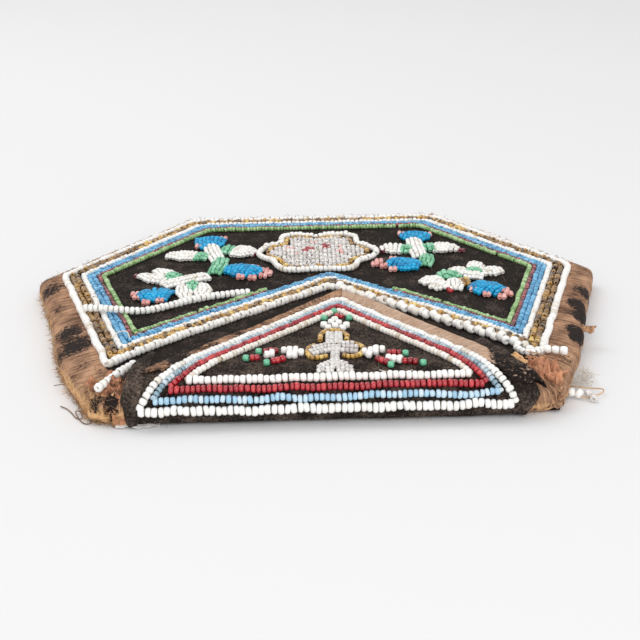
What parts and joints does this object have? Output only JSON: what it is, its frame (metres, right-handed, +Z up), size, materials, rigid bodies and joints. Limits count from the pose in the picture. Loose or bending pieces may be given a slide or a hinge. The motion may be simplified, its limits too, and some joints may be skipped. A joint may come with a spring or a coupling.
{
  "type": "beaded bag",
  "caption": "Flat six-sided velvet bag lying on its back, with a pointed flap folded over its mouth, silk binding and floral beadwork inside bead borders",
  "frame": {"origin": "middle of the bag's box on the plane it lies on, free strands apart", "axes": "+X across the bag to the right, +Y from the mouth fold to the bag's bottom edge, +Z up out of the front panel"},
  "size_m": [0.1734, 0.1542, 0.0139],
  "materials": {
    "velvet": "worn black velvet pile with brown lint",
    "card": "plain stiff card",
    "lining": "plain cotton",
    "silk": "worn brown silk ribbon",
    "bead_white": "opaque white glass beads, sewn down",
    "bead_gold": "amber glass beads, sewn down",
    "bead_blue": "medium blue glass beads, sewn down",
    "bead_flower_blue": "bright blue glass beads, sewn down",
    "bead_pale_blue": "pale blue glass beads, sewn down",
    "bead_red": "ruby glass beads, sewn down",
    "bead_green": "pale green glass beads, sewn down",
    "bead_leaf_green": "green glass beads, sewn down",
    "bead_clear": "clear glass beads, sewn down",
    "bead_strand": "opaque white glass beads on a loose thread"
  },
  "bodies": {
    "root": {"back_velvet": "velvet", "front_velvet": "velvet", "flap_velvet": "velvet", "back_card": "card", "front_card": "card", "back_lining": "lining", "front_lining": "lining", "flap_lining": "lining", "edge_binding": "silk", "mouth_binding": "silk", "flap_binding": "silk", "row_outer_white": "bead_white", "row_inner_white": "bead_white", "flap_row_outer_white": "bead_white", "flap_row_inner_white": "bead_white", "flower_outline_white": "bead_white", "left_stem_white": "bead_white", "left_leaf_outer_white": "bead_white", "left_leaf_inner_white": "bead_white", "left_lower_stem": "bead_white", "left_lower_leaves": "bead_white", "right_stem_white": "bead_white", "right_leaf_outer_white": "bead_white", "right_leaf_inner_white": "bead_white", "right_lower_stem": "bead_white", "right_lower_leaves": "bead_white", "flap_left_white": "bead_white", "flap_right_white": "bead_white", "flap_loops": "bead_white", "row_gold_outer": "bead_gold", "row_gold_inner": "bead_gold", "flower_outline_amber": "bead_gold", "flap_arch": "bead_gold", "row_blue_outer": "bead_blue", "row_blue_inner": "bead_blue", "left_bud": "bead_flower_blue", "left_blossom": "bead_flower_blue", "left_lower_blossom": "bead_flower_blue", "right_bud": "bead_flower_blue", "right_blossom": "bead_flower_blue", "right_lower_blossom": "bead_flower_blue", "flap_row_pale_blue": "bead_pale_blue", "row_dark_red": "bead_red", "flap_row_dark_red": "bead_red", "flap_left_branches": "bead_red", "flap_right_branches": "bead_red", "row_pale_green": "bead_green", "left_stem_green": "bead_leaf_green", "left_leaf_outer_green": "bead_leaf_green", "left_leaf_inner_green": "bead_leaf_green", "right_stem_green": "bead_leaf_green", "right_leaf_outer_green": "bead_leaf_green", "right_leaf_inner_green": "bead_leaf_green", "flower_filling": "bead_clear", "flap_clear_petals": "bead_clear", "loose_strand": "bead_strand", "corner_strand": "bead_strand", "corner_thread_beads": "bead_strand"}
  },
  "joints": []
}
